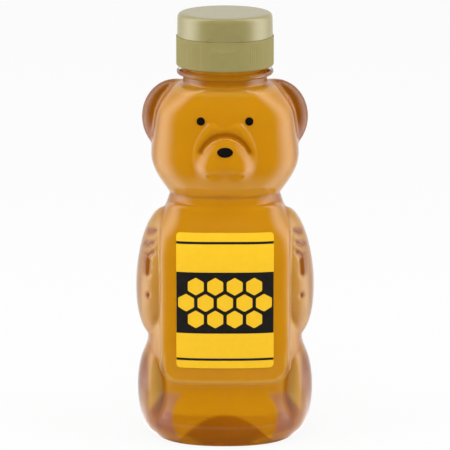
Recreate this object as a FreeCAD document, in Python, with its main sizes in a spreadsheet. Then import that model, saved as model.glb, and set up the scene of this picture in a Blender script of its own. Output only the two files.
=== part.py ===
import FreeCAD
import Part
import Sketcher
import math
import os

# Honey bear bottle: a blow-moulded bear filled with honey, printed eyes and nose, a front label,
# a foil seal, and a screw cap with a flip lid on a living hinge.
# Millimetres, +Z up, the face looks along -Y, the origin is on the neck axis at the base.

SIZES = [
    ("wall", 0.8, "bottle wall"),
    ("honey_gap", 0.02, "clearance between honey and wall"),
    ("fill_level", 144, "height of the honey surface"),
    ("print_gap", 0.03, "clearance under label and ink"),
    ("film", 0.12, "thickness of label film and ink"),
    # torso stations: height, half width, reach to the front, reach to the back, squareness
    ("base_at", 0, "torso station"),
    ("base_half", 25.6, "half width"),
    ("base_front", 21.4, "front reach"),
    ("base_back", 21.0, "back reach"),
    ("base_square", 2.25, "squareness"),
    ("heel_at", 2.8, "torso station"),
    ("heel_half", 28.6, "half width"),
    ("heel_front", 23.6, "front reach"),
    ("heel_back", 24.0, "back reach"),
    ("heel_square", 2.4, "squareness"),
    ("rump_at", 14, "torso station"),
    ("rump_half", 29.8, "half width"),
    ("rump_front", 23.8, "front reach"),
    ("rump_back", 26, "back reach"),
    ("rump_square", 2.5, "squareness"),
    ("waist_at", 37, "torso station"),
    ("waist_half", 29.0, "half width"),
    ("waist_front", 22.9, "front reach"),
    ("waist_back", 24.6, "back reach"),
    ("waist_square", 2.6, "squareness"),
    ("belly_at", 58, "torso station"),
    ("belly_half", 28.6, "half width"),
    ("belly_front", 22.9, "front reach"),
    ("belly_back", 23.8, "back reach"),
    ("belly_square", 2.6, "squareness"),
    ("chest_at", 76, "torso station"),
    ("chest_half", 26.8, "half width"),
    ("chest_front", 21.9, "front reach"),
    ("chest_back", 22.4, "back reach"),
    ("chest_square", 2.5, "squareness"),
    ("shoulder_at", 85.5, "torso station"),
    ("shoulder_half", 23.2, "half width"),
    ("shoulder_front", 19.0, "front reach"),
    ("shoulder_back", 19.6, "back reach"),
    ("shoulder_square", 2.3, "squareness"),
    ("throat_at", 92.2, "torso station, below the chin"),
    ("throat_half", 19.6, "half width"),
    ("throat_front", 15.8, "front reach"),
    ("throat_back", 16.4, "back reach"),
    ("throat_square", 2.1, "squareness"),
    # head stations
    ("chin_at", 89.6, "head station"),
    ("chin_half", 18.6, "half width"),
    ("chin_front", 15.4, "front reach"),
    ("chin_back", 16.2, "back reach"),
    ("chin_square", 2.1, "squareness"),
    ("jaw_at", 95.6, "head station"),
    ("jaw_half", 23.0, "half width"),
    ("jaw_front", 19.0, "front reach"),
    ("jaw_back", 20.0, "back reach"),
    ("jaw_square", 2.3, "squareness"),
    ("cheek_at", 106, "head station"),
    ("cheek_half", 27.3, "half width"),
    ("cheek_front", 21.0, "front reach"),
    ("cheek_back", 22.8, "back reach"),
    ("cheek_square", 2.6, "squareness"),
    ("temple_at", 117, "head station"),
    ("temple_half", 26.6, "half width"),
    ("temple_front", 20.8, "front reach"),
    ("temple_back", 22.6, "back reach"),
    ("temple_square", 2.8, "squareness"),
    ("crown_at", 127.5, "head station"),
    ("crown_half", 24.2, "half width"),
    ("crown_front", 19.6, "front reach"),
    ("crown_back", 20.2, "back reach"),
    ("crown_square", 2.9, "squareness"),
    ("collar_at", 134.3, "head station under the neck"),
    ("collar_half", 18.6, "half width"),
    ("collar_front", 16.8, "front reach"),
    ("collar_back", 16.8, "back reach"),
    ("collar_square", 2.3, "squareness"),
    # rounded lumps: centre and the three half sizes
    ("ear_x", 18.5, "centre"),
    ("ear_y", 4.0, "centre"),
    ("ear_z", 121.2, "centre"),
    ("ear_wide", 12.5, "half width"),
    ("ear_deep", 5.8, "half depth"),
    ("ear_tall", 13.5, "half height"),
    ("dish_x", 20.4, "centre of the hollow in the ear"),
    ("dish_y", -3.4, "centre"),
    ("dish_z", 121.0, "centre"),
    ("dish_wide", 9.4, "half width"),
    ("dish_deep", 3.6, "half depth"),
    ("dish_tall", 10.6, "half height"),
    ("muzzle_y", -16.2, "centre"),
    ("muzzle_z", 110.2, "centre"),
    ("muzzle_wide", 10.6, "half width"),
    ("muzzle_deep", 9.8, "half depth"),
    ("muzzle_tall", 9.6, "half height"),
    ("brow_y", -14, "centre"),
    ("brow_z", 121.6, "centre"),
    ("brow_wide", 12.4, "half width"),
    ("brow_deep", 8.8, "half depth"),
    ("brow_tall", 5.6, "half height"),
    ("arm_x", 25.4, "centre"),
    ("arm_y", -3, "centre"),
    ("arm_z", 62.5, "centre"),
    ("arm_wide", 7.7, "half width"),
    ("arm_deep", 15.4, "half depth"),
    ("arm_tall", 24.5, "half height"),
    ("arm_lean", 5, "angle by which the shoulder leans in"),
    ("leg_x", 23.2, "centre"),
    ("leg_y", -5.2, "centre"),
    ("leg_z", 18.8, "centre"),
    ("leg_wide", 9.6, "half width"),
    ("leg_deep", 18.6, "half depth"),
    ("leg_tall", 18.4, "half height"),
    ("pushup_y", 0.8, "centre of the hollow under the base"),
    ("pushup_wide", 17.5, "half width"),
    ("pushup_deep", 12.5, "half depth"),
    ("pushup_tall", 4, "rise"),
    ("panel_half", 22.9, "half width of the raised front panel"),
    ("panel_low", 23.3, "bottom edge"),
    ("panel_high", 89, "top edge"),
    ("panel_corner", 6, "corner radius"),
    ("panel_rise", 1.9, "height above the torso"),
    # neck finish
    ("neck_root", 128, "where the neck starts inside the head"),
    ("collar_radius", 16.6, "round step above the head"),
    ("collar_top", 135.8, "height"),
    ("neck_radius", 15.4, "neck below the bead"),
    ("bead_radius", 17.6, "transfer bead"),
    ("bead_low", 138.0, "underside"),
    ("bead_high", 139.8, "upper side"),
    ("finish_radius", 15.05, "outside of the finish between the threads"),
    ("lip", 149.8, "height of the sealing lip"),
    ("finish_round", 0.6, "rounded edges of collar and bead"),
    ("bore_radius", 13.1, "inside of the neck"),
    # printed pieces
    ("label_wide", 36.1, "width"),
    ("label_low", 30.6, "bottom edge"),
    ("label_high", 81.2, "top edge"),
    ("label_corner", 1.4, "corner radius"),
    ("eye_x", 8.9, "eye centre"),
    ("eye_z", 123.5, "eye centre"),
    ("eye_radius", 1.55, "eye radius"),
    ("nose_z", 112.8, "nose centre"),
    ("nose_wide", 2.95, "half width"),
    ("nose_tall", 1.75, "half height"),
    # seals
    ("foil", 0.15, "foil thickness"),
    ("foil_radius", 14.9, "foil radius"),
    ("gasket", 0.8, "liner thickness"),
    ("gasket_radius", 15.8, "outside of the liner"),
    ("gasket_hole", 10, "hole in the liner"),
    # cap
    ("cap_radius", 18.1, "outside of the skirt"),
    ("cap_wall", 1.5, "skirt wall"),
    ("cap_low", 141.2, "bottom of the skirt"),
    ("deck", 1.5, "deck thickness"),
    ("nozzle_radius", 4.6, "outside of the spout"),
    ("orifice_radius", 3.0, "pouring hole"),
    ("nozzle_tall", 4.6, "spout height above the deck"),
    ("cap_round", 0.9, "rounded edge at the bottom of the skirt"),
    ("nozzle_round", 0.5, "rounded edge on the spout"),
    ("groove_radius", 0.28, "radius of a grip groove"),
    ("groove_pitch", 2.8, "angle between grip grooves"),
    ("groove_count", 44, "grip grooves on each side"),
    ("grip_start", 30.4, "angle of the first groove from the front"),
    ("grip_margin", 0.8, "plain band above the grooves"),
    ("recess_wide", 30, "half width of the thumb recess tool"),
    ("recess_tall", 8.2, "half height of the thumb recess tool"),
    ("recess_deep", 6, "half depth of the thumb recess tool"),
    ("recess_bite", 1.0, "depth of the thumb recess"),
    ("recess_rise", 1.35, "centre of the recess above the parting line"),
    # lid
    ("lid_gap", 0.08, "clearance at the parting line"),
    ("lid_radius", 17.75, "outside at the rim"),
    ("lid_top_radius", 17.35, "outside at the top"),
    ("lid_top", 160.8, "height"),
    ("lid_wall", 1.3, "side wall"),
    ("lid_roof", 1.3, "roof thickness"),
    ("lid_round", 2.0, "rounded upper edge"),
    ("plug_gap", 0.12, "clearance of the plug in the spout"),
    ("plug_reach", 1.3, "how far the plug enters the spout"),
    ("plug_round", 0.4, "rounded tip of the plug"),
    # hinge
    ("hinge_flat", 16.9, "flat behind lid and skirt"),
    ("hinge_half", 4.2, "half width of the web"),
    ("hinge_thick", 0.5, "web thickness"),
    ("hinge_thin", 0.26, "thickness at the fold"),
    ("hinge_reach", 1.6, "web length on each side of the fold"),
    ("hinge_fold", 0.5, "half height of the fold"),
    ("flat_drop", 5.6, "how far the flat runs down the skirt"),
]

SEAM = {"torso": 90, "head": 54}
TORSO = ["base", "heel", "rump", "waist", "belly", "chest", "shoulder", "throat"]
HEAD = ["chin", "jaw", "cheek", "temple", "crown", "collar"]
OVAL_POINTS = 20

doc = FreeCAD.newDocument("honey_bear")
sheet = doc.addObject("Spreadsheet::Sheet", "sizes")
for row, (alias, number, note) in enumerate(SIZES, 1):
    sheet.set("A%d" % row, alias)
    sheet.set("B%d" % row, str(number))
    sheet.setAlias("B%d" % row, alias)
    sheet.set("C%d" % row, note)
doc.recompute()

PARTING = "(sizes.lip + sizes.foil + sizes.gasket + sizes.deck)"
NOZZLE_TOP = "(%s + sizes.nozzle_tall)" % PARTING
LID_LOW = "(%s + sizes.lid_gap)" % PARTING
CEILING = "(sizes.lid_top - sizes.lid_roof)"
PLUG_LOW = "(%s - sizes.plug_reach)" % NOZZLE_TOP


def value(expression):
    """Number that an expression of the sheet stands for."""
    return float(sheet.evalExpression(expression))


def bind(thing, **expressions):
    """Tie properties of a document object to expressions of the sheet."""
    for name, expression in expressions.items():
        thing.setExpression(name.replace("__", "."), expression)
    return thing


def ellipsoid(name, centre, half, lean="0"):
    """Ellipsoid whose centre, half sizes (x, y, z) and lean about Y are expressions, its poles along X."""
    thing = doc.addObject("Part::Ellipsoid", name)
    thing.Placement.Rotation = FreeCAD.Rotation(FreeCAD.Vector(0, 1, 0), 90)
    bind(thing, Radius1=half[0], Radius3=half[1], Radius2=half[2])
    bind(thing, Placement__Base__x=centre[0], Placement__Base__y=centre[1], Placement__Base__z=centre[2])
    bind(thing, Placement__Rotation__Angle="(90 - (%s)) * 1 deg" % lean)
    return thing


def boolean(kind, name, base, tool):
    """Cut or common of two document objects."""
    thing = doc.addObject("Part::" + kind, name)
    thing.Base = base
    thing.Tool = tool
    return thing


def fuse(name, things):
    """Union of several document objects."""
    thing = doc.addObject("Part::MultiFuse", name)
    thing.Shapes = things
    return thing


def plane(body, role):
    """Origin plane or axis of a body."""
    return [item for item in body.Origin.OriginFeatures if item.Role == role][0]


def outline(body, name, role, corners):
    """Closed sketch of straight lines whose corners are pairs of expressions."""
    sketch = body.newObject("Sketcher::SketchObject", name)
    sketch.AttachmentSupport = (plane(body, role), [""])
    sketch.MapMode = "FlatFace"
    places = [FreeCAD.Vector(value(x), value(y), 0) for x, y in corners]
    for index, place in enumerate(places):
        sketch.addGeometry(Part.LineSegment(place, places[(index + 1) % len(places)]))
    for index in range(len(places)):
        sketch.addConstraint(Sketcher.Constraint("Coincident", index, 2, (index + 1) % len(places), 1))
    for index, (x, y) in enumerate(corners):
        for kind, axis, expression in (("DistanceX", -2, x), ("DistanceY", -1, y)):
            if expression == "0":
                sketch.addConstraint(Sketcher.Constraint("PointOnObject", index, 1, axis))
                continue
            size = Sketcher.Constraint(kind, -1, 1, index, 1, value(expression))
            number = sketch.addConstraint(size)
            sketch.setExpression("Constraints[%d]" % number, expression)
    return sketch


def turned(name, corners):
    """Body of revolution about Z from a profile of (radius, height) expressions."""
    body = doc.addObject("PartDesign::Body", name)
    sketch = outline(body, name + "_profile", "XZ_Plane", corners)
    turn = body.newObject("PartDesign::Revolution", name + "_turn")
    turn.Profile = sketch
    turn.ReferenceAxis = (sketch, ["V_Axis"])
    turn.Angle = 360
    sketch.Visibility = False
    doc.recompute()
    return body


def round_edges(body, name, radius, wanted):
    """Fillet on the edges of a body's tip that satisfy a test."""
    tip = body.Tip
    names = ["Edge%d" % number for number, edge in enumerate(tip.Shape.Edges, 1) if wanted(edge)]
    fillet = body.newObject("PartDesign::Fillet", name)
    fillet.Base = (tip, names)
    bind(fillet, Radius=radius)
    doc.recompute()
    return fillet


def ring_at(radius, height):
    """Test for a full circle of this radius about Z at this height."""
    def wanted(edge):
        box = edge.BoundBox
        flat = box.ZLength < 1e-4 and abs(box.ZMin - value(height)) < 1e-4
        return flat and abs(box.XLength / 2 - value(radius)) < 1e-4
    return wanted


def oval(name, station, inset, seam):
    """Closed superellipse section of the skin with its own front and back reach."""
    half = value("sizes.%s_half - (%s)" % (station, inset))
    front = value("sizes.%s_front - (%s)" % (station, inset))
    back = value("sizes.%s_back - (%s)" % (station, inset))
    power = 2 / value("sizes.%s_square" % station)
    points = []
    for step in range(OVAL_POINTS):
        angle = math.radians(seam + 360 * step / OVAL_POINTS)
        cosine = math.cos(angle)
        sine = math.sin(angle)
        depth = back if sine > 0 else front
        x = math.copysign(half * abs(cosine) ** power, cosine)
        y = math.copysign(depth * abs(sine) ** power, sine)
        points.append(FreeCAD.Vector(x, y, 0))
    curve = Part.BSplineCurve()
    curve.interpolate(points, PeriodicFlag=True)
    section = doc.addObject("Part::Feature", name)
    section.Shape = Part.Wire(curve.toShape())
    return section


def loft(name, stations, inset):
    """Smooth skin through a row of sections, its ends pulled in by the inset."""
    seam = SEAM["head" if stations is HEAD else "torso"]
    sections = []
    for place, station in enumerate(stations):
        section = oval("%s_%s" % (name, station), station, inset, seam)
        height = "sizes.%s_at" % station
        if place == 0:
            height = "%s + (%s)" % (height, inset)
        if place == len(stations) - 1:
            height = "%s - (%s)" % (height, inset)
        bind(section, Placement__Base__z=height)
        sections.append(section)
    thing = doc.addObject("Part::Loft", name)
    thing.Sections = sections
    thing.Solid = True
    thing.Ruled = False
    return thing


def lump(tag, name, side, inset, x="0"):
    """Rounded part of the bear, smaller by the inset; side mirrors it across the middle."""
    across = "%s * (%s)" % (side, x)
    centre = (across, "sizes.%s_y" % name, "sizes.%s_z" % name)
    half = ["sizes.%s_%s - (%s)" % (name, size, inset) for size in ("wide", "deep", "tall")]
    label = "%s_%s_%s" % (tag, name, "left" if side == "1" else "right")
    lean = "%s * sizes.arm_lean" % side if name == "arm" else "0"
    return ellipsoid(label, centre, half, lean)


def block(name, half, low, high, corner):
    """Upright rounded plate in front of the neck axis, deep enough to pass the muzzle."""
    body = doc.addObject("PartDesign::Body", name)
    sketch = outline(body, name + "_outline", "XZ_Plane", [
        ("-(%s)" % half, low),
        (half, low),
        (half, high),
        ("-(%s)" % half, high),
    ])
    pad = body.newObject("PartDesign::Pad", name + "_pad")
    pad.Profile = sketch
    bind(pad, Length="2 * sizes.muzzle_deep - 2 * sizes.muzzle_y")
    sketch.Visibility = False
    doc.recompute()
    round_edges(body, name + "_corners", corner,
                lambda edge: edge.BoundBox.XLength < 1e-4 and edge.BoundBox.ZLength < 1e-4)
    return body


def front_panel(tag, inset):
    """Raised panel: a slightly larger torso kept inside a rounded plate."""
    raised = loft(tag + "_raised", TORSO, "%s - sizes.panel_rise" % inset)
    plate = block(
        tag + "_plate",
        "sizes.panel_half - (%s)" % inset,
        "sizes.panel_low + (%s)" % inset,
        "sizes.panel_high - (%s)" % inset,
        "sizes.panel_corner - (%s)" % inset,
    )
    return boolean("Common", tag + "_panel", raised, plate)


def skin(tag, inset):
    """Whole bear without the neck, every surface moved inwards by the inset."""
    limbs = {}
    for name in ("arm", "leg", "ear", "dish"):
        away = "-(%s)" % inset if name == "dish" else inset
        limbs[name] = [lump(tag, name, side, away, "sizes.%s_x" % name) for side in ("1", "-1")]
    cupped = [boolean("Cut", ear.Name + "_cupped", ear, dish) for ear, dish in zip(limbs["ear"], limbs["dish"])]
    body = loft(tag + "_torso", TORSO, inset)
    for stage, pieces in enumerate((
        [front_panel(tag, inset)],
        limbs["arm"],
        limbs["leg"],
        [loft(tag + "_head", HEAD, inset)],
        [lump(tag, "brow", "1", inset)],
        [lump(tag, "muzzle", "1", inset)],
        cupped,
    )):
        body = fuse("%s_stage_%d" % (tag, stage), [body] + pieces)
    reach = ["sizes.pushup_%s + (%s)" % (size, inset) for size in ("wide", "deep", "tall")]
    pushup = ellipsoid(tag + "_pushup", ("0", "sizes.pushup_y", "0"), reach)
    return boolean("Cut", tag + "_skin", body, pushup)


# Bottle: outer skin and neck finish, less the inner skin and the bore.
outer = skin("outer", "0")
neck = turned("neck_finish", [
    ("0", "sizes.neck_root"),
    ("sizes.collar_radius", "sizes.neck_root"),
    ("sizes.collar_radius", "sizes.collar_top"),
    ("sizes.neck_radius", "sizes.collar_top"),
    ("sizes.neck_radius", "sizes.bead_low"),
    ("sizes.bead_radius", "sizes.bead_low"),
    ("sizes.bead_radius", "sizes.bead_high"),
    ("sizes.finish_radius", "sizes.bead_high"),
    ("sizes.finish_radius", "sizes.lip"),
    ("0", "sizes.lip"),
])
round_edges(neck, "bead_edge", "sizes.finish_round", lambda edge: any(
    ring_at("sizes." + radius, "sizes." + height)(edge) for radius, height in (
        ("bead_radius", "bead_low"), ("bead_radius", "bead_high"), ("collar_radius", "collar_top"))))


def bore(tag, clearance, top):
    """Round space inside the neck."""
    thing = doc.addObject("Part::Cylinder", tag + "_bore")
    low = "(sizes.neck_root - 2 * sizes.wall)"
    bind(thing, Radius="sizes.bore_radius - (%s)" % clearance, Height="%s - %s" % (top, low))
    return bind(thing, Placement__Base__z=low)


inside = fuse("inside", [skin("inner", "sizes.wall"), bore("inner", "0", "(sizes.lip + sizes.wall)")])
bottle = boolean("Cut", "bottle", fuse("outside", [outer, neck]), inside)

# Honey: the inner skin again, a hair smaller, up to the fill level.
HONEY_INSET = "sizes.wall + sizes.honey_gap"
honey_room = fuse("honey_room", [
    skin("honey", HONEY_INSET),
    bore("honey", "sizes.honey_gap", "sizes.fill_level"),
])
level = doc.addObject("Part::Cylinder", "below_level")
bind(level, Radius="2 * (sizes.rump_half + sizes.arm_wide)", Height="sizes.fill_level")
honey = boolean("Common", "honey_fill", honey_room, level)

# Label and ink: thin films that follow the skin, cut out by prisms along Y.
UNDER = "-sizes.print_gap"
OVER = "-(sizes.print_gap + sizes.film)"


def face(tag, inset):
    """Front of the head alone: head, muzzle and brow."""
    pieces = [loft(tag + "_head", HEAD, inset)]
    pieces.append(lump(tag, "muzzle", "1", inset))
    pieces.append(lump(tag, "brow", "1", inset))
    return fuse(tag, pieces)


PANEL_UNDER = "-sizes.panel_rise - sizes.print_gap"
PANEL_OVER = "-sizes.panel_rise - sizes.print_gap - sizes.film"
panel = [loft("panel_torso", TORSO, PANEL_UNDER)]
for side in ("1", "-1"):
    panel.append(lump("panel", "arm", side, UNDER, "sizes.arm_x"))
label_film = boolean("Cut", "label_film", loft("label_torso", TORSO, PANEL_OVER), fuse("label_bed", panel))
ink_film = boolean("Cut", "ink_film", face("ink_over", OVER), face("ink_under", UNDER))

label_body = block(
    "label_cutter", "sizes.label_wide / 2", "sizes.label_low", "sizes.label_high", "sizes.label_corner")
front_label = boolean("Common", "front_label", label_film, label_body)


def ink(name, x, height, wide, tall):
    """Printed spot: the film inside an upright elliptic prism along Y."""
    oval_edge = doc.addObject("Part::Ellipse", name + "_outline")
    bind(oval_edge, MajorRadius=wide, MinorRadius=tall)
    oval_edge.Placement.Rotation = FreeCAD.Rotation(FreeCAD.Vector(1, 0, 0), 90)
    bind(oval_edge, Placement__Base__x=x, Placement__Base__z=height)
    prism = doc.addObject("Part::Extrusion", name + "_prism")
    prism.Base = oval_edge
    prism.DirMode = "Custom"
    prism.Dir = FreeCAD.Vector(0, -1, 0)
    prism.Solid = True
    bind(prism, LengthFwd="2 * sizes.muzzle_deep - 2 * sizes.muzzle_y")
    return boolean("Common", name, ink_film, prism)


left_eye = ink("left_eye", "sizes.eye_x", "sizes.eye_z", "sizes.eye_radius * 1.001", "sizes.eye_radius")
right_eye = ink("right_eye", "-sizes.eye_x", "sizes.eye_z", "sizes.eye_radius * 1.001", "sizes.eye_radius")
nose = ink("nose", "0", "sizes.nose_z", "sizes.nose_wide", "sizes.nose_tall")

# Seals on the lip: welded foil, then the liner ring that stays in the cap.
foil = doc.addObject("Part::Cylinder", "foil_seal")
bind(foil, Radius="sizes.foil_radius", Height="sizes.foil", Placement__Base__z="sizes.lip")
gasket = turned("cap_gasket", [
    ("sizes.gasket_hole", "sizes.lip + sizes.foil"),
    ("sizes.gasket_radius", "sizes.lip + sizes.foil"),
    ("sizes.gasket_radius", "sizes.lip + sizes.foil + sizes.gasket"),
    ("sizes.gasket_hole", "sizes.lip + sizes.foil + sizes.gasket"),
])

# Screw cap: skirt, deck and spout turned in one profile, then grip grooves on both sides.
SKIRT_BORE = "(sizes.cap_radius - sizes.cap_wall)"
cap_body = turned("cap_turned", [
    ("sizes.cap_radius", "sizes.cap_low"),
    ("sizes.cap_radius", PARTING),
    ("sizes.nozzle_radius", PARTING),
    ("sizes.nozzle_radius", NOZZLE_TOP),
    ("sizes.orifice_radius", NOZZLE_TOP),
    ("sizes.orifice_radius", PARTING + " - sizes.deck"),
    (SKIRT_BORE, PARTING + " - sizes.deck"),
    (SKIRT_BORE, "sizes.cap_low"),
])
round_edges(cap_body, "skirt_edge", "sizes.cap_round", ring_at("sizes.cap_radius", "sizes.cap_low"))
round_edges(cap_body, "spout_edge", "sizes.nozzle_round", ring_at("sizes.nozzle_radius", NOZZLE_TOP))


def grip(side, name):
    """Row of upright grooves round one side of the skirt."""
    top = "%s - sizes.grip_margin" % PARTING
    sketch = cap_body.newObject("Sketcher::SketchObject", name + "_section")
    sketch.AttachmentSupport = (plane(cap_body, "XY_Plane"), [""])
    sketch.MapMode = "FlatFace"
    bind(sketch, AttachmentOffset__Base__z=top)
    x = "%s * sizes.cap_radius * sin(sizes.grip_start * 1 deg)" % side
    y = "-sizes.cap_radius * cos(sizes.grip_start * 1 deg)"
    centre = FreeCAD.Vector(value(x), value(y), 0)
    sketch.addGeometry(Part.Circle(centre, FreeCAD.Vector(0, 0, 1), value("sizes.groove_radius")))
    for constraint, expression in (
        (Sketcher.Constraint("DistanceX", -1, 1, 0, 3, centre.x), x),
        (Sketcher.Constraint("DistanceY", -1, 1, 0, 3, centre.y), y),
        (Sketcher.Constraint("Radius", 0, value("sizes.groove_radius")), "sizes.groove_radius"),
    ):
        number = sketch.addConstraint(constraint)
        sketch.setExpression("Constraints[%d]" % number, expression)
    groove = cap_body.newObject("PartDesign::Pocket", name + "_groove")
    groove.Profile = sketch
    bind(groove, Length="%s - sizes.cap_low - sizes.cap_round" % top)
    doc.recompute()
    row = cap_body.newObject("PartDesign::PolarPattern", name + "_row")
    row.Originals = [groove]
    row.Axis = (plane(cap_body, "Z_Axis"), [""])
    row.Reversed = side == "-1"
    bind(row, Angle="sizes.groove_pitch * (sizes.groove_count - 1)", Occurrences="sizes.groove_count")
    cap_body.Tip = row
    doc.recompute()


grip("1", "left_grip")
grip("-1", "right_grip")

# Lid: dome wall, roof and sealing plug turned in one profile.
PLUG_RADIUS = "(sizes.orifice_radius - sizes.plug_gap)"
lid_body = turned("lid_turned", [
    ("sizes.lid_radius", LID_LOW),
    ("sizes.lid_top_radius", "sizes.lid_top"),
    ("0", "sizes.lid_top"),
    ("0", PLUG_LOW),
    (PLUG_RADIUS, PLUG_LOW),
    (PLUG_RADIUS, CEILING),
    ("sizes.lid_top_radius - sizes.lid_wall", CEILING),
    ("sizes.lid_radius - sizes.lid_wall", LID_LOW),
])
round_edges(lid_body, "lid_edge", "sizes.lid_round", ring_at("sizes.lid_top_radius", "sizes.lid_top"))
round_edges(lid_body, "plug_tip", "sizes.plug_round", ring_at(PLUG_RADIUS, PLUG_LOW))

# Thumb recess across the parting line at the front, and the flat behind for the hinge.
recess = ellipsoid(
    "thumb_recess",
    ("0", "sizes.recess_bite - sizes.cap_radius - sizes.recess_deep", PARTING + " + sizes.recess_rise"),
    ("sizes.recess_wide", "sizes.recess_deep", "sizes.recess_tall"),
)
flat = doc.addObject("Part::Box", "hinge_flat_tool")
bind(flat, Length="2 * sizes.cap_radius", Width="sizes.cap_radius")
bind(flat, Height="sizes.lid_top + 1 - %s + sizes.flat_drop" % PARTING)
bind(flat, Placement__Base__x="-sizes.cap_radius", Placement__Base__y="sizes.hinge_flat")
bind(flat, Placement__Base__z=PARTING + " - sizes.flat_drop")
front_and_back = fuse("cap_cutters", [recess, flat])
cap_base = boolean("Cut", "cap_base", cap_body, front_and_back)
flip_lid = boolean("Cut", "flip_lid", lid_body, front_and_back)

# Living hinge: a web on the two flats, thinned to a fold at the parting line.
FOLD = "(%s + sizes.lid_gap / 2)" % PARTING
hinge = doc.addObject("PartDesign::Body", "living_hinge")
hinge_sketch = outline(hinge, "web_section", "YZ_Plane", [
    ("sizes.hinge_flat", FOLD + " - sizes.hinge_reach"),
    ("sizes.hinge_flat + sizes.hinge_thick", FOLD + " - sizes.hinge_reach"),
    ("sizes.hinge_flat + sizes.hinge_thick", FOLD + " - sizes.hinge_fold"),
    ("sizes.hinge_flat + sizes.hinge_thin", FOLD),
    ("sizes.hinge_flat + sizes.hinge_thick", FOLD + " + sizes.hinge_fold"),
    ("sizes.hinge_flat + sizes.hinge_thick", FOLD + " + sizes.hinge_reach"),
    ("sizes.hinge_flat", FOLD + " + sizes.hinge_reach"),
])
web = hinge.newObject("PartDesign::Pad", "web")
web.Profile = hinge_sketch
web.Midplane = True
bind(web, Length="2 * sizes.hinge_half")
doc.recompute()

NODES = [
    bottle, honey, front_label, left_eye, right_eye, nose, foil, gasket, cap_base, flip_lid, hinge,
]
for thing in doc.Objects:
    if "Invalid" in thing.State or "Error" in thing.State:
        raise RuntimeError("%s: %s" % (thing.Name, thing.State))
os.makedirs("parts", exist_ok=True)
for node in NODES:
    if node.Shape.isNull() or not node.Shape.isValid():
        raise RuntimeError("bad shape: " + node.Label)
    node.Shape.exportStep("parts/%s.step" % node.Label)
    box = node.Shape.BoundBox
    print("%-13s %9.1f mm3 %2d solid x %.2f..%.2f y %.2f..%.2f z %.2f..%.2f" % (
        node.Label, node.Shape.Volume, len(node.Shape.Solids),
        box.XMin, box.XMax, box.YMin, box.YMax, box.ZMin, box.ZMax))
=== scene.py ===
import math

import bmesh
import bpy
import numpy as np
import openvdb
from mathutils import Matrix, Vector


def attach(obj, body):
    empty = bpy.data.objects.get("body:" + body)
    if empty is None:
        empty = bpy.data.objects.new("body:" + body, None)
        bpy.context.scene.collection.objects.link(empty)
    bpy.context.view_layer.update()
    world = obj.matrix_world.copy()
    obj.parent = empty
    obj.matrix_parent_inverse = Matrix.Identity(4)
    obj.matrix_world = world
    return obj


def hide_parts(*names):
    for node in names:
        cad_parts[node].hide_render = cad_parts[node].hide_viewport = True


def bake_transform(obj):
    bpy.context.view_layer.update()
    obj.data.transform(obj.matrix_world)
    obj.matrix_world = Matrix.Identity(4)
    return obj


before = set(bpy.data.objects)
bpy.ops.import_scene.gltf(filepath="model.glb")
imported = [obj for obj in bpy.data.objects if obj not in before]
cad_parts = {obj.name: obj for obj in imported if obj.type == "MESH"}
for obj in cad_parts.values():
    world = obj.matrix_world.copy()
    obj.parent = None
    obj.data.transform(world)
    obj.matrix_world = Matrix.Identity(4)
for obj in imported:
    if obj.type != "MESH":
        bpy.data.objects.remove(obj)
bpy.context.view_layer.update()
MM = 0.001

# The bear, in millimetres: +Z is up, the bear looks along -Y and the two halves mirror each other.
# Sections of the skin: height, half width, front reach, back reach, squareness
TORSO = np.array([
    (0, 25.6, 21.4, 21.0, 2.25), (2.8, 28.1, 23.6, 24.0, 2.4), (14, 29.8, 23.8, 26.0, 2.5),
    (37, 29.0, 22.9, 24.6, 2.6), (58, 28.6, 22.9, 23.8, 2.6), (76, 26.8, 21.9, 22.4, 2.5),
    (85.5, 23.2, 19.0, 19.6, 2.3), (94.8, 20.0, 17.2, 17.0, 2.1),
])
HEAD = np.array([
    (90.8, 18.6, 14.4, 16.0, 2.1), (96.2, 22.6, 18.0, 20.0, 2.3), (106, 27.3, 21.0, 22.8, 2.6),
    (117, 26.6, 20.8, 22.6, 2.8), (127.5, 24.2, 19.6, 20.2, 2.9), (134.3, 18.6, 16.8, 16.8, 2.3),
])
SECTION_EDGE = 1.2
WALL = 0.8

# Round forms: centre and half sizes
ARM = ((24.6, -3, 63.3), (8.5, 15.4, 24.6))
ARM_LEAN = 5
LEG = ((25.6, -2.6, 19.5), (7.3, 16.0, 18.2))
SNOUT = ((0, -16.2, 109.8), (9.8, 9.6, 9.2))
JOWL = ((4.6, -17.0, 107.0), (5.9, 8.0, 5.6))
CHIN = ((0, -12.5, 102.8), (11.8, 9.6, 9.4))
EAR = ((18.5, 4, 121.0), (12.5, 5.8, 14.1))
EAR_DISH = ((20.4, -2.0, 121), (9.4, 2.2, 10.6))
PUSH_UP = ((0, 0.8, 0), (17.5, 12.5, 4))

# Fillets and rounded edges where the forms meet
ARM_FILLET = 0.9
LEG_FILLET = 1.6
FACE_FILLET = 3.0
BROW_FILLET = 1.2
EAR_FILLET = 1.4
EAR_RIM = 0.8
HEAD_FILLET = 0.9
PUSH_UP_EDGE = 1.5
LINE_EDGE = 0.5

# Raised label panel: half width, low edge, high edge and corner, then how it swells
PANEL = (24.2, 24.4, 91, 7)
PANEL_RAISE = 1.9
PANEL_RAISE_ENDS = (79, 90)
PANEL_SQUARE = 0.4
PANEL_SQUARE_ABOVE = 0.8
PANEL_SQUARE_ENDS = (60, 85)
PANEL_EDGE = 1.0
PANEL_FILLET = 0.5

# Brow ridge from the jowl up to its peak and in to the middle: places (x, z) and depth of its core
BROW_LINE = (
    (10.5, 109.6), (10.2, 111.6), (9.5, 114.3), (7.7, 118.2), (5.1, 121.5), (2.7, 120.1), (0, 119.5),
)
BROW_DEPTH = (1.9, 1.5, 1.0, 0.7, 0.4, 1.0, 1.3)
BROW_RADIUS = 1.7

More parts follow.
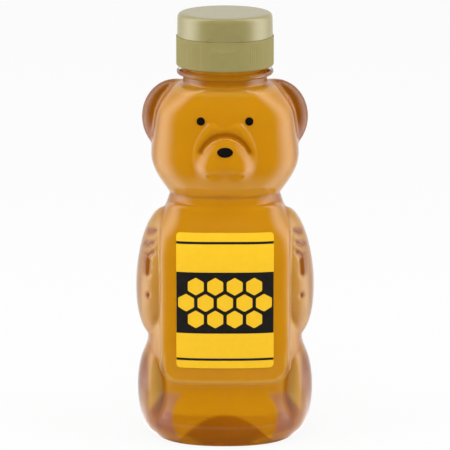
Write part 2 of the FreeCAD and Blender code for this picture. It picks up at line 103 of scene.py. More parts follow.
# Lines pressed into the muzzle and the paws: places (x, z), radius, and how far their core stands off
PRESSED_LINES = (
    (((0, 118.6), (2.4, 118.3), (5.0, 117.2), (7.1, 115.4)), 1.0, -0.3),
    (((7.1, 115.4), (8.4, 113.6), (9.0, 112.2)), 0.9, -0.3),
    (((25.8, 80.6), (27.8, 79.4)), 0.75, 0.2),
    (((26.6, 76.6), (29.0, 75.0)), 0.8, 0.2),
    (((26.6, 73.2), (28.8, 71.8)), 0.8, 0.2),
    (((28.6, 70.2), (28.9, 65.4)), 1.3, 0.6),
    (((28.4, 57.4), (28.5, 56.8)), 0.75, 0.2),
)

# Neck: low edge, high edge, radius and rounded edge of each ring, and its fillet to the rings before
NECK_ROOT = 120
LIP = 149.8
FINISH_RADIUS = 15.05
COLLAR = (NECK_ROOT, 134.7, 17.2, 0.6)
NECK_RINGS = (
    ((NECK_ROOT, 140, 15.7, 0.3), 0.5),
    ((138.0, 139.8, 18.0, 0.7), 0.4),
    ((NECK_ROOT, LIP, FINISH_RADIUS, 0.5), 0.3),
)
NECK_FILLET = 0.8
THREAD_PITCH = 4.233
THREAD_LOW = 142.9
THREAD_HIGH = 147.1
THREAD_CREST = 0.95
THREAD_HALF = 0.75
THREAD_FILLET = 0.3

# Honey in the neck, and the empty bore above it up past the lip
FILL = 144.0
FILL_GAP = 0.06
FILL_RADIUS = 13.05
FILL_FILLET = 1.0
BORE_RADIUS = 13.1
BORE_TOP = LIP + 6
BORE_EDGE = 0.2
LIP_EDGE = 0.3

# Painted light and shade: strengths from 0 to 1, ends of fades, and bands with start, full, last and end
# Painted shade: ears, pressed lines, crease under the chin, throat, heel, rims where the skin turns
# sideways
EAR_DARK = 0.85
EAR_PAST_HEAD = (0.3, 1.5)
EAR_SIDE = (16, 19)
EAR_FOOT = (104, 107)
PRESSED_DARK = 0.95
PRESSED_CORE = 0.4
PRESSED_SPILL = 0.9
CREASE_DARK = 0.45
CREASE_HEIGHT = 93.6
CREASE_GAP = (0.3, 1.4)
CREASE_REACH = (1.5, 3)
THROAT_DARK = 0.8
THROAT_BAND = (134.4, 135.4, 137.5, 139)
HEEL_DARK = 0.75
HEEL_TOP = 12.8
HEEL_FALL = 6.0
HEEL_HALF = 13
HEEL_STOP = 1.35
HEEL_FADE = (-0.6, 0.6)
RIM_DARK = 0.45
RIM_TURN = (0.85, 0.97)
LOW_RIM_DARK = 0.9
LOW_RIM_TURN = (0.62, 0.85)
LOW_RIM_TOP = (30, 37)
# Painted reflection, rosy: shins, outside the bowed edge of the lap and under the slanting edge of the
# knees
SHIN_REFLECTION_PAINT = 0.72
SHIN_TOP = (18.5, 21.5)
LAP_HALF = 19.6
LAP_BOW = 2.4
LAP_MIDDLE = 11
LAP_REACH = 7.2
LAP_FADE = (-0.8, 0.8)
KNEE_LOW = 20.3
KNEE_MIDDLE = 22.9
KNEE_SLANT = 1.4
KNEE_FADE = (-1.2, 1.2)
# Painted light: panel edge (its line: half width, low, high, corner), ring at the neck, arms, legs and chin
EDGE_PALE = 0.9
EDGE_PALE_LOSS = 0.4
EDGE_LOSS_ENDS = (26, 31)
EDGE_LINE = (23.7, 25.1, 91, 7)
EDGE_WIDTH = (0.4, 1.3)
EDGE_TOP = (78, 86)
RING_PALE = 0.35
RING_BAND = (131.6, 132.6, 133.8, 134.6)
ARM_PALE = 0.9
ARM_SIDE = (22.9, 24.4)
ARM_BAND = (40, 46, 88, 92)
LEG_PAST_TORSO = (0.2, 1.6)
LEG_SIDE = (21.5, 23.0)
LEG_BAND = (8, 15, 33, 39)
CHIN_PALE = 0.35
CHIN_BAND = (92, 95, 99, 104)
FRONT_FADE = (0, 6)

# Label: half width, low edge, high edge and corner; a comb of open six-sided cells in a black band, with
# the share of width and height in their slanting sides; two thin lines
LABEL = (18.05, 31.2, 82.0, 1.4)
LABEL_BOX = ((-18.6, 30.6), (18.6, 82.6))
COMB_BOX = ((-18.6, 43.9), (18.6, 68.3))
PRINT_HALF = 18.0
BAND_MIDDLE = 56.1
BAND_HALF = 11.6
CELL_PITCH = 7.2
CELL_ROW = 6.235
CELL_HALF = 2.95
CELL_SLANT = (0.5, 0.866)
LINE_LOW = 34.1
LINE_HIGH = 78.0
LINE_WIDTH = 0.9
LINE_CORNER = 0.05
LINE_MARGIN = 0.3
SHEET_LIFT = 0.10
PRINT_LIFT = 0.13
INK_LIFT = 0.08
SHEET_PITCH = 0.8
PRINT_PITCH = 0.3
INK_PITCH = 0.15

# Ink spots: place (x, z), half sizes, and half the patch of grid that each is cut from
EYE = ((8.9, 123.5), (1.55, 1.55), (2.4, 2.4))
NOSE = ((0, 112.8), (2.95, 1.75), (3.6, 2.4))

# Cap: screw skirt with deck and spout, lid with plug, thumb recess, flat for the hinge, ribs, thread
# (crest, low end, turns, half height) and hinge web
PARTING = 152.25
SKIRT_LOW = 141.2
SKIRT_RADIUS = 18.1
SKIRT_BORE = 16.6
DECK_UNDER = 150.75
SPOUT_RADIUS = 4.6
SPOUT_BORE = 3.0
SPOUT_TOP = 156.85
LID_FOOT = 152.29
LID_FOOT_RADIUS = 17.75
LID_FOOT_BORE = 16.45
LID_TOP = 160.9
LID_TOP_RADIUS = 17.6
LID_ROOF = 159.5
LID_ROOF_BORE = 16.05
PLUG_RADIUS = 2.88
PLUG_TIP = 155.55
OUTER_WALL = 17
RECESS_HALF = 7.0
RECESS_DROP = 3.45
RECESS_RISE = 6.0
RECESS_TOP_HALF = 2.8
LID_BITE = 0.65
LID_BITE_LOSS = 0.8
HINGE_FLAT = 16.9
HINGE_FLAT_LOW = 146.6
HINGE_FLAT_RADIUS = 16.7
RIB_START = 29.0
RIB_PITCH = 2.8
RIB_COUNT = 44
RIB_DEPTH = 0.10
RIB_LOW = 142.0
RIB_HIGH = 151.5
RIB_END = 0.5
RIB_WALL = 17.5
CAP_THREAD = (1.1, 143.1, 1.3, 0.55)
CAP_THREAD_ROOT = 0.1
CAP_THREAD_FLAT = 0.3
CAP_THREAD_RUN_OUT = 0.6
CAP_THREAD_LEAST = 0.05
WEB_HALF_WIDTH = 4.2
WEB_LOW = 150.69
WEB_HIGH = 153.89
WEB_FOLD = 152.29
WEB_OUTSIDE = 17.4
WEB_INSIDE = 16.86
WEB_NOTCH = 0.24
WEB_NOTCH_HALF = 0.5

# Fineness and boxes of the meshes, and the search for the front of the bear
PITCH = 0.7
HONEY_PITCH = 1.3 * PITCH
FINE = 3
SKIRT_STEPS = 360 * FINE
LID_STEPS = 240 * FINE
LOFT_STEPS = 400
THREAD_STEPS = 200
WEB_ROWS = 33
WEB_COLUMNS = 5
BEAR_LOW = (-36, -29, -2)
SHELL_HIGH = (36, 29, 152)
HONEY_HIGH = (36, 29, 146)
FIELD_REACH = 5.0
FIELD_PARTS = 12
SEARCH_FROM = -45.0
SEARCH_STEPS = 60
SEARCH_SHARE = 0.8
SEARCH_LONGEST = 4
LINE_REACH = 3
FAR = 1e3

# Studio, in metres and watts; levels in reflections, and the ends of the fades between them
FLOOR_REACH = 12.0
FLOOR_GREY = 0.86
FLOOR_GLOW_SHARE = 0.9
WORLD_LEVEL = 0.58
SIDE_LEVEL = 3.4
SIDE_LEVEL_NEAR = 2.0
FRONT_LEVEL = 0.03
FRONT_LEVEL_NEAR = 0.5
FRONT_LEVEL_UNDER = 0.1
BACK_LEVEL = 0.9
FRONT_TO_SIDE = (-0.66, -0.02)
SIDE_TO_BACK = (0.05, 0.75)
FRONT_NEARING = (5.0, 11.0)
FRONT_UNDER = (15.0, 22.0)
SIDE_NEARING = (3.3, 10.0)
STRIP_PLACE = (0.9, -0.3, 0.5)
STRIP_AIM = (0, 0, 0.3)
STRIP_SIZE = (0.66, 1.0)
STRIP_WATTS = 5.0
TOP_PLACE = (-0.1, -1.0, 1.5)
TOP_AIM = (0, 0, 0.09)
TOP_SIZE = (0.9, 0.9)
TOP_WATTS = 9.0
CAMERA_PLACE = (0, -1.358, 0.3787)
CAMERA_AIM = (0, 0, 0.0802)
CAMERA_LENS = 296.9
CAMERA_SENSOR = 36
CAMERA_FAR = 60


# Shape of the bear: distances are signed, negative inside, one for each row of p


def slopes(x, y):
    """Slopes at the rows of a table for a curve without jumps in its bend."""
    gap = np.diff(x)
    rise = np.diff(y, axis=0) / gap[:, None]
    left = np.zeros((len(x), len(x)))
    right = np.zeros_like(y)
    left[0, :2] = 2, 1
    left[-1, -2:] = 1, 2
    right[0] = 3 * rise[0]
    right[-1] = 3 * rise[-1]
    for i in range(1, len(x) - 1):
        left[i, i - 1:i + 2] = gap[i], 2 * (gap[i - 1] + gap[i]), gap[i - 1]
        right[i] = 3 * (gap[i] * rise[i - 1] + gap[i - 1] * rise[i])
    return np.linalg.solve(left, right)


def spline(rows, z):
    """Smooth values between the rows of a table, one column each, by cubic pieces."""
    x = rows[:, 0]
    y = rows[:, 1:]
    slope = slopes(x, y)
    z = np.clip(z, x[0], x[-1])
    i = np.clip(np.searchsorted(x, z) - 1, 0, len(x) - 2)
    step = x[i + 1] - x[i]
    t = ((z - x[i]) / step)[:, None]
    step = step[:, None]
    return ((1 + 2 * t) * (1 - t) ** 2 * y[i] + t * (1 - t) ** 2 * step * slope[i]
            + t * t * (3 - 2 * t) * y[i + 1] + t * t * (t - 1) * step * slope[i + 1])


def ease(value, start, end):
    """0 before start, 1 after end, smooth between."""
    t = np.clip((value - start) / (end - start), 0, 1)
    return t * t * (3 - 2 * t)


def within(value, start, full, last, end):
    """1 from full to last, 0 before start and after end, smooth between."""
    return ease(value, start, full) * (1 - ease(value, last, end))


def smin(a, b, k):
    """Union with a fillet of about k."""
    h = np.maximum(k - np.abs(a - b), 0) / k
    return np.minimum(a, b) - h * h * k / 4


def smax(a, b, k):
    """Intersection with a rounded edge of about k."""
    return -smin(-a, -b, k)


def loft(rows, p, grow=0.0, square=0.0):
    """Body with superellipse sections, grown and made squarer by choice."""
    table_z = np.linspace(rows[0, 0], rows[-1, 0], LOFT_STEPS)
    table = spline(rows, table_z)
    half, front, back, power = (np.interp(p[:, 2], table_z, table[:, c]) for c in range(4))
    power = power + square
    depth = np.where(p[:, 1] > 0, back, front)
    ux = np.abs(p[:, 0]) / (half + grow)
    uy = np.abs(p[:, 1]) / (depth + grow)
    n = np.maximum((ux ** power + uy ** power) ** (1 / power), 1e-3)
    gx = (ux / n) ** (power - 1) / (half + grow)
    gy = (uy / n) ** (power - 1) / (depth + grow)
    side = (n - 1) / np.maximum(np.sqrt(gx * gx + gy * gy), 0.01)
    return smax(side, np.maximum(rows[0, 0] - p[:, 2], p[:, 2] - rows[-1, 0]), SECTION_EDGE)


def ball(p, centre, half, lean=0.0):
    """Ellipsoid whose upper end leans towards -X by an angle in degrees."""
    q = p - np.array(centre)
    if lean:
        c, s = math.cos(math.radians(lean)), math.sin(math.radians(lean))
        q = np.stack([q[:, 0] * c + q[:, 2] * s, q[:, 1], q[:, 2] * c - q[:, 0] * s], -1)
    q = q / np.array(half)
    k0 = np.sqrt((q * q).sum(1))
    k1 = np.sqrt(((q / np.array(half)) ** 2).sum(1))
    return k0 * (k0 - 1) / np.maximum(k1, 1e-6)


def rod(p, points, radius):
    """Row of capsules along points."""
    found = np.full(len(p), FAR)
    for a, b in zip(points[:-1], points[1:]):
        a = np.array(a, float)
        b = np.array(b, float)
        along = b - a
        t = np.clip(((p - a) @ along) / (along @ along), 0, 1)[:, None]
        found = np.minimum(found, np.sqrt(((p - a - t * along) ** 2).sum(1)) - radius)
    return found


def rounded_box(u, v, edge):
    """Rounded rectangle from the distances past its two pairs of sides, drawn in by the edge."""
    inside = np.minimum(np.maximum(u, v), 0)
    return inside + np.hypot(np.maximum(u, 0), np.maximum(v, 0)) - edge


def turned(p, low, high, radius, edge):
    """Upright round disc with rounded edges."""
    r = np.hypot(p[:, 0], p[:, 1]) - radius + edge
    z = np.abs(p[:, 2] - (low + high) / 2) - (high - low) / 2 + edge
    return rounded_box(r, z, edge)


def plate(p, half, low, high, corner):
    """Rounded rectangle seen from the front."""
    x = np.abs(p[:, 0]) - half + corner
    z = np.abs(p[:, 2] - (low + high) / 2) - (high - low) / 2 + corner
    return rounded_box(x, z, corner)


def fold(p):
    """Points with the left and right halves laid on each other."""
    q = p.copy()
    q[:, 0] = np.abs(q[:, 0])
    return q


def front_of(x, z, lift, function):
    """Y of the front surface over (x, z), moved forward by the lift, from a search along Y."""
    x = np.asarray(x, float)
    z = np.asarray(z, float)
    y = np.full(x.shape, SEARCH_FROM)
    for _ in range(SEARCH_STEPS):
        gap = function(np.stack([x, y, z], -1))
        y = y + SEARCH_SHARE * np.clip(gap, -SEARCH_LONGEST, SEARCH_LONGEST)
    return y - lift


def laid(places, lift, function):
    """Points on the front surface over places (x, z)."""
    x, z = np.array(places, float).T
    return [tuple(v) for v in np.stack([x, front_of(x, z, lift, function), z], -1)]


BROW = laid(BROW_LINE, -np.array(BROW_DEPTH), lambda p: loft(HEAD, p))


def torso(p):
    """Torso with the raised label panel on its front."""
    grow = PANEL_RAISE * (1 - ease(p[:, 2], *PANEL_RAISE_ENDS))
    square = PANEL_SQUARE + PANEL_SQUARE_ABOVE * ease(p[:, 2], *PANEL_SQUARE_ENDS)
    panel = smax(loft(TORSO, p, grow, square), plate(p, *PANEL), PANEL_EDGE)
    return smin(loft(TORSO, p), np.maximum(panel, p[:, 1]), PANEL_FILLET)


def head(p, q):
    """Head with brow, muzzle and cupped ears."""
    brow = smin(loft(HEAD, p), rod(q, BROW, BROW_RADIUS), BROW_FILLET)
    muzzle = smin(ball(p, *SNOUT), ball(q, *JOWL), FACE_FILLET)
    muzzle = smin(muzzle, ball(p, *CHIN), FACE_FILLET)
    ear = smax(ball(q, *EAR), -ball(q, *EAR_DISH), EAR_RIM)
    return smin(smin(brow, muzzle, FACE_FILLET), ear, EAR_FILLET)


def figure(p):
    """Outside of the bear, without its neck."""
    q = fold(p)
    d = smin(torso(p), ball(q, *ARM, ARM_LEAN), ARM_FILLET)
    d = smin(d, ball(q, *LEG), LEG_FILLET)
    d = smin(d, head(p, q), HEAD_FILLET)
    return smax(d, -ball(p, *PUSH_UP), PUSH_UP_EDGE)


PRESSED = [(laid(places, lift, figure), radius) for places, radius, lift in PRESSED_LINES]


def bear(p):
    """Bear with the lines pressed into its face and paws."""
    d = figure(p)
    near = np.abs(d) < LINE_REACH
    if near.any():
        q = fold(p[near])
        cut = np.full(len(q), FAR)
        for points, radius in PRESSED:
            cut = np.minimum(cut, rod(q, points, radius))
        d[near] = smax(d[near], -cut, LINE_EDGE)
    return d


def thread(p):
    """Helical ridge on the screw finish."""
    turn = np.arctan2(p[:, 1], p[:, 0]) / (2 * np.pi) * THREAD_PITCH
    height = p[:, 2] - THREAD_LOW - turn
    laps = round((THREAD_HIGH - THREAD_LOW) / THREAD_PITCH)
    across = height - np.clip(np.round(height / THREAD_PITCH), 0, laps) * THREAD_PITCH
    out = np.hypot(p[:, 0], p[:, 1]) - FINISH_RADIUS
    return (np.hypot(out / THREAD_CREST, across / THREAD_HALF) - 1) * min(THREAD_CREST, THREAD_HALF)


def neck(p):
    """Neck with collar, transfer bead and screw finish."""
    d = turned(p, *COLLAR)
    for ring, fillet in NECK_RINGS:
        d = smin(d, turned(p, *ring), fillet)
    return smin(d, thread(p), THREAD_FILLET)


def shell(p):
    """Bottle wall and honey as one clear block, hollow above the honey."""
    outside = smin(bear(p), neck(p), NECK_FILLET)
    return smax(outside, -turned(p, FILL, BORE_TOP, BORE_RADIUS, BORE_EDGE), LIP_EDGE)


def honey(p):
    """Honey inside the wall and up the neck."""
    column = turned(p, NECK_ROOT, FILL - FILL_GAP, FILL_RADIUS, BORE_EDGE)
    return smin(bear(p) + WALL, column, FILL_FILLET)


# Meshes


def gradient(function, p, h=0.05):
    """Slope of a distance at points."""
    out = np.empty_like(p)
    for axis in range(3):
        step = np.zeros(3)
        step[axis] = h
        out[:, axis] = (function(p + step) - function(p - step)) / (2 * h)
    return out


def to_mesh(name, points, faces, smooth=True):
    """Object from points in millimetres."""
    mesh = bpy.data.meshes.new(name)
    mesh.from_pydata((np.asarray(points) * MM).tolist(), [], [list(map(int, f)) for f in faces])
    mesh.validate()
    mesh.update()
    if smooth:
        mesh.shade_smooth()
    thing = bpy.data.objects.new(name, mesh)
    bpy.context.scene.collection.objects.link(thing)
    return thing


def surface(name, function, low, high, pitch):
    """Mesh of a distance function's zero surface, its points drawn on to that surface."""
    axes = [np.arange(a, b + pitch, pitch) for a, b in zip(low, high)]
    grid = np.stack(np.meshgrid(*axes, indexing="ij"), -1).reshape(-1, 3)
    values = np.concatenate([function(part) for part in np.array_split(grid, FIELD_PARTS)])
    values = np.clip(values, -FIELD_REACH, FIELD_REACH).astype(np.float32)
    field = openvdb.FloatGrid()
    field.background = FIELD_REACH
    field.copyFromArray(values.reshape([len(a) for a in axes]))
    points, triangles, quads = field.convertToPolygons(isovalue=0.0, adaptivity=0.0)
    points = np.asarray(points, float) * pitch + np.array(low)
    for _ in range(2):
        slope = gradient(function, points)
        size = np.maximum((slope ** 2).sum(1), 0.05)[:, None]
        move = -function(points)[:, None] * slope / size
        points = points + np.clip(move, -pitch / 2, pitch / 2)
    return to_mesh(name, points, list(quads) + list(triangles))


# Materials: colours come in pairs, and the tint wanders between the two

TINT_STOPS = (0.35, 0.65)
CLEAR_TINT = ((0.985, 0.97, 0.94), (1.0, 0.99, 0.97))
HONEY_BODY = ((0.885, 0.452, 0.010), (0.915, 0.472, 0.013))
# Painted shade, painted reflection and painted light on the honey: mesh value name and colour pair
HONEY_PAINTED_COLOURS = (
    ("honey_light_paint", (0.99, 0.68, 0.16), (1.0, 0.70, 0.18)),
    ("honey_reflection_paint", (0.59, 0.30, 0.26), (0.61, 0.32, 0.28)),
    ("honey_shade_paint", (0.42, 0.138, 0.005), (0.46, 0.158, 0.006)),
)
HONEY_DEPTH = (0.90, 0.72, 0.02, 1)
CLEAR_MOTTLE = 60.0
CLEAR_WAVE = 90.0
HONEY_MOTTLE = 40.0
PLAIN_MOTTLE = 400.0
PLAIN_GRAIN = 1800.0


def node_material(name):
    """Fresh material with its node tree and shader."""
    material = bpy.data.materials.new(name)
    material.use_nodes = True
    tree = material.node_tree
    return material, tree, tree.nodes["Principled BSDF"]


def noise_of(tree, scale, detail=3.0):
    """Noise over the object's own coordinates."""
    place = tree.nodes.new("ShaderNodeTexCoord")
    noise = tree.nodes.new("ShaderNodeTexNoise")
    noise.inputs["Scale"].default_value = scale
    noise.inputs["Detail"].default_value = detail
    tree.links.new(place.outputs["Object"], noise.inputs["Vector"])
    return noise.outputs["Fac"]


def tint(tree, scale, low, high):
    """Colour that wanders between two values with a noise."""
    ramp = tree.nodes.new("ShaderNodeValToRGB")
    for stop, position, colour in zip(ramp.color_ramp.elements, TINT_STOPS, (low, high)):
        stop.position = position
        stop.color = (*colour, 1)
    tree.links.new(noise_of(tree, scale), ramp.inputs["Fac"])
    return ramp.outputs["Color"]


def bump(tree, shader, noise, strength, distance):
    """Fine relief from a noise."""
    node = tree.nodes.new("ShaderNodeBump")
    node.inputs["Strength"].default_value = strength
    node.inputs["Distance"].default_value = distance
    tree.links.new(noise, node.inputs["Height"])
    tree.links.new(node.outputs["Normal"], shader.inputs["Normal"])


def clear_plastic():
    """Clear wall of the bottle."""
    material, tree, shader = node_material("clear_plastic")
    shader.inputs["Transmission Weight"].default_value = 1.0
    shader.inputs["IOR"].default_value = 1.45
    shader.inputs["Roughness"].default_value = 0.045
    tree.links.new(tint(tree, CLEAR_MOTTLE, *CLEAR_TINT), shader.inputs["Base Color"])
    bump(tree, shader, noise_of(tree, CLEAR_WAVE, detail=1.0), strength=0.04, distance=0.0006)
    return material


def toned(tree, base, name, low, high):
    """Colour that goes over to another one where the mesh carries the named value."""
    value = tree.nodes.new("ShaderNodeAttribute")
    value.attribute_name = name
    mix = tree.nodes.new("ShaderNodeMix")
    mix.data_type = "RGBA"
    tree.links.new(value.outputs["Fac"], mix.inputs["Factor"])
    tree.links.new(base, mix.inputs["A"])
    tree.links.new(tint(tree, HONEY_MOTTLE, low, high), mix.inputs["B"])
    return mix.outputs["Result"]


def honey_liquid():
    """Honey: half clear and half cloudy, with an amber depth."""
    material, tree, shader = node_material("honey_liquid")
    shader.inputs["Transmission Weight"].default_value = 0.5
    shader.inputs["IOR"].default_value = 1.02
    shader.inputs["Specular IOR Level"].default_value = 0.0
    shader.inputs["Roughness"].default_value = 0.25
    colour = tint(tree, HONEY_MOTTLE, *HONEY_BODY)
    # Mix in the painted shade, reflection and light where the mesh carries them
    for name, low, high in HONEY_PAINTED_COLOURS:
        colour = toned(tree, colour, name, low, high)
    tree.links.new(colour, shader.inputs["Base Color"])
    volume = tree.nodes.new("ShaderNodeVolumeAbsorption")
    volume.inputs["Color"].default_value = HONEY_DEPTH
    volume.inputs["Density"].default_value = 20.0
    tree.links.new(volume.outputs["Volume"], tree.nodes["Material Output"].inputs["Volume"])
    return material


def plain(name, low, high, roughness, grain=0.05, gloss=0.5, metal=0.0):
    """Solid plastic, film, ink or foil with a slightly uneven colour and a fine grain."""
    material, tree, shader = node_material(name)
    shader.inputs["Roughness"].default_value = roughness
    shader.inputs["Specular IOR Level"].default_value = gloss
    shader.inputs["Metallic"].default_value = metal
    tree.links.new(tint(tree, PLAIN_MOTTLE, low, high), shader.inputs["Base Color"])
    bump(tree, shader, noise_of(tree, PLAIN_GRAIN, detail=2.0), strength=grain, distance=0.0002)
    return material


CLEAR = clear_plastic()
HONEY = honey_liquid()
CAP = plain("cap_plastic", (0.287, 0.245, 0.087), (0.297, 0.255, 0.093), 0.26, grain=0.02, gloss=0.85)
SKIRT = plain("cap_skirt_plastic", (0.276, 0.235, 0.084), (0.286, 0.245, 0.090), 0.55, gloss=0.2)
YELLOW = plain("label_yellow", (0.84, 0.494, 0.0128), (0.86, 0.514, 0.0158), 0.42, gloss=0.2)
BLACK = plain("label_black", (0.010, 0.009, 0.008), (0.014, 0.012, 0.011), 0.5, gloss=0.15)
INK = plain("black_ink", (0.004, 0.003, 0.003), (0.006, 0.005, 0.004), 0.5, gloss=0.1)
FOAM = plain("liner_foam", (0.72, 0.71, 0.68), (0.80, 0.79, 0.76), 0.7)
FOIL = plain("seal_foil", (0.62, 0.62, 0.63), (0.72, 0.72, 0.73), 0.32, metal=1.0)


def own(thing, body, material, slot, *nodes):
    """Material, carrier and the CAD nodes that a piece stands for; slot is not used."""
    thing.data.materials.append(material)
    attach(thing, body)
    if nodes:
        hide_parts(*nodes)


# Bottle and honey


def pressed_line_painted_shade(q, front):
    """Painted shade along the pressed lines, as seen from the front."""
    flat = q * np.array((1, 0, 1))
    tone = np.zeros(len(q))
    for points, radius in PRESSED:
        gap = rod(flat, [(x, 0, z) for x, _, z in points], 0)
        line = 1 - ease(gap, PRESSED_CORE * radius, radius + PRESSED_SPILL)
        tone = np.maximum(tone, PRESSED_DARK * line * front)
    return tone


def painted_shade_mask(p, q, front, sideways):
    """Painted shade on the honey: ears, pressed lines, crease under the chin, neck, heel and the rims of
    the sides.
    """
    z = p[:, 2]
    past_head = ease(loft(HEAD, p) + WALL, *EAR_PAST_HEAD)
    ears = EAR_DARK * past_head * ease(q[:, 0], *EAR_SIDE) * ease(z, *EAR_FOOT)
    crease = CREASE_DARK * (1 - ease(np.abs(loft(TORSO, p) - loft(HEAD, p)), *CREASE_GAP))
    crease = crease * (1 - ease(np.abs(z - CREASE_HEIGHT), *CREASE_REACH))
    throat = THROAT_DARK * within(z, *THROAT_BAND)
    heel_top = HEEL_TOP - HEEL_FALL * np.minimum(q[:, 0] / HEEL_HALF, HEEL_STOP) ** 2
    heel = HEEL_DARK * (1 - ease(z - heel_top, *HEEL_FADE)) * front
    rim = RIM_DARK * ease(sideways, *RIM_TURN)
    low_rim = LOW_RIM_DARK * ease(sideways, *LOW_RIM_TURN) * (1 - ease(z, *LOW_RIM_TOP))
    return np.maximum.reduce([ears, crease, throat, heel, rim, low_rim, pressed_line_painted_shade(q, front)])


def painted_reflection_mask(p, q, front):
    """Painted reflection, a rosy tint on the honey: the shins, outside the lap and under the knees."""
    z = p[:, 2]
    past_lap = ease(q[:, 0] - LAP_HALF + LAP_BOW * ((z - LAP_MIDDLE) / LAP_REACH) ** 2, *LAP_FADE)
    under_knee = 1 - ease(z - KNEE_LOW + KNEE_SLANT * (q[:, 0] - KNEE_MIDDLE), *KNEE_FADE)
    return SHIN_REFLECTION_PAINT * past_lap * under_knee * (1 - ease(z, *SHIN_TOP)) * front


def painted_light_mask(p, q, front):
    """Painted light on the honey: edge of the panel, ring at the neck, arms, knees and chin."""
    z = p[:, 2]
    strength = EDGE_PALE - EDGE_PALE_LOSS * ease(z, *EDGE_LOSS_ENDS)
    edge = strength * (1 - ease(np.abs(plate(p, *EDGE_LINE)), *EDGE_WIDTH))
    edge = edge * (1 - ease(z, *EDGE_TOP)) * front
    ring = RING_PALE * within(z, *RING_BAND)
    arm = ARM_PALE * ease(q[:, 0], *ARM_SIDE) * within(z, *ARM_BAND)
    past_torso = ease(loft(TORSO, p) + WALL, *LEG_PAST_TORSO)
    knee = past_torso * within(z, *LEG_BAND) * ease(q[:, 0], *LEG_SIDE)
    chin = CHIN_PALE * within(z, *CHIN_BAND) * front
    return np.maximum.reduce([edge, ring, arm, knee, chin])


def carry_painted_masks(thing):
    """Give the honey's points the painted shade, reflection and light that its material reads."""
    p = np.array([v.co for v in thing.data.vertices]) / MM
    q = fold(p)
    front = ease(-p[:, 1], *FRONT_FADE)
    sideways = np.array([v.normal.x for v in thing.data.vertices]) * np.sign(p[:, 0])
    for name, values in (
        ("honey_shade_paint", painted_shade_mask(p, q, front, sideways)),
        ("honey_light_paint", painted_light_mask(p, q, front)),
        ("honey_reflection_paint", painted_reflection_mask(p, q, front)),
    ):
        layer = thing.data.attributes.new(name, "FLOAT", "POINT")
        layer.data.foreach_set("value", values.astype(np.float32))


def make_bottle():
    """Clear bear and the honey in it."""
    own(surface("bear_shell", shell, BEAR_LOW, SHELL_HIGH, PITCH), "bottle", CLEAR, "clear_shell", "bottle")
    liquid = surface("honey_body", honey, BEAR_LOW, HONEY_HIGH, HONEY_PITCH)
    # Painted shade, reflection and light go on the honey's points
    carry_painted_masks(liquid)
    own(liquid, "bottle", HONEY, "honey", "honey_fill")


# Label and ink


def pull_in(points, inside, reach):
    """Draw the points just outside an outline on to it."""
    for _ in range(6):
        d = inside(points[:, 0], points[:, 2])
        sx = (inside(points[:, 0] + 1e-3, points[:, 2]) - d) / 1e-3
        sz = (inside(points[:, 0], points[:, 2] + 1e-3) - d) / 1e-3
        out = (d > 0) & (d < reach)
        size = np.maximum(sx * sx + sz * sz, 1e-3)
        points[out, 0] -= (d * sx / size)[out]
        points[out, 2] -= (d * sz / size)[out]


def film(name, inside, box, lift, pitch, material, slot, *nodes):
    """Thin printed film on the front of the bear, kept where inside(x, z) is not positive."""
    (x_low, z_low), (x_high, z_high) = box
    x = np.arange(x_low, x_high + pitch / 2, pitch)
    z = np.arange(z_low, z_high + pitch / 2, pitch)
    gx, gz = np.meshgrid(x, z, indexing="ij")
    points = np.stack([gx.ravel(), np.zeros(gx.size), gz.ravel()], -1)
    pull_in(points, inside, 1.5 * pitch)
    index = np.arange(gx.size).reshape(gx.shape)
    quads = np.stack([index[:-1, :-1], index[1:, :-1], index[1:, 1:], index[:-1, 1:]], -1).reshape(-1, 4)
    good = inside(points[:, 0], points[:, 2]) < 1e-2
    used, flat = np.unique(quads[good[quads].all(1)], return_inverse=True)
    points = points[used]
    points[:, 1] = front_of(points[:, 0], points[:, 2], lift, figure)
    own(to_mesh(name, points, flat.reshape(-1, 4)), "bottle", material, slot, *nodes)


def rectangle(half, low, high, corner):
    """Outline of a rounded rectangle."""
    def inside(x, z):
        return plate(np.stack([x, x, z], -1), half, low, high, corner)
    return inside


def oval(place, size):
    """Outline of an ellipse."""
    def inside(x, z):
        return (np.hypot((x - place[0]) / size[0], (z - place[1]) / size[1]) - 1) * min(size)
    return inside


def comb(x, z):
    """Outline of a black band with rows of 4, 5 and 4 cells left open in it."""
    band = np.maximum(np.abs(x) - PRINT_HALF, np.abs(z - BAND_MIDDLE) - BAND_HALF)
    cells = np.full(np.shape(x), FAR)
    for row, count in ((-1, 4), (0, 5), (1, 4)):
        up = np.abs(z - BAND_MIDDLE - row * CELL_ROW)
        for k in range(count):
            across = np.abs(x - (k - (count - 1) / 2) * CELL_PITCH)
            slant = across * CELL_SLANT[0] + up * CELL_SLANT[1]
            cells = np.minimum(cells, np.maximum(across, slant) - CELL_HALF)
    return np.maximum(band, -cells)


def make_label():
    """Yellow sheet with a honeycomb band and a thin line near each end."""
    sheet = rectangle(*LABEL)
    film("label_sheet", sheet, LABEL_BOX, SHEET_LIFT, SHEET_PITCH, YELLOW, "label_film", "front_label")
    film("label_comb", comb, COMB_BOX, PRINT_LIFT, PRINT_PITCH, BLACK, "label_film")
    for name, low in (("label_line_low", LINE_LOW), ("label_line_high", LINE_HIGH)):
        high = low + LINE_WIDTH
        reach = PRINT_HALF + LINE_MARGIN
        box = ((-reach, low - LINE_MARGIN), (reach, high + LINE_MARGIN))
        line = rectangle(PRINT_HALF, low, high, LINE_CORNER)
        film(name, line, box, PRINT_LIFT, PRINT_PITCH, BLACK, "label_film")


def make_spot(node, side, spot):
    """One spot of black ink."""
    (x, z), size, reach = spot
    place = (side * x, z)
    box = (np.subtract(place, reach), np.add(place, reach))
    film(node + "_ink", oval(place, size), box, INK_LIFT, INK_PITCH, INK, "black_ink", node)


def make_face():
    """Eyes and nose."""
    make_spot("left_eye", 1, EYE)
    make_spot("right_eye", -1, EYE)
    make_spot("nose", 1, NOSE)


# Cap


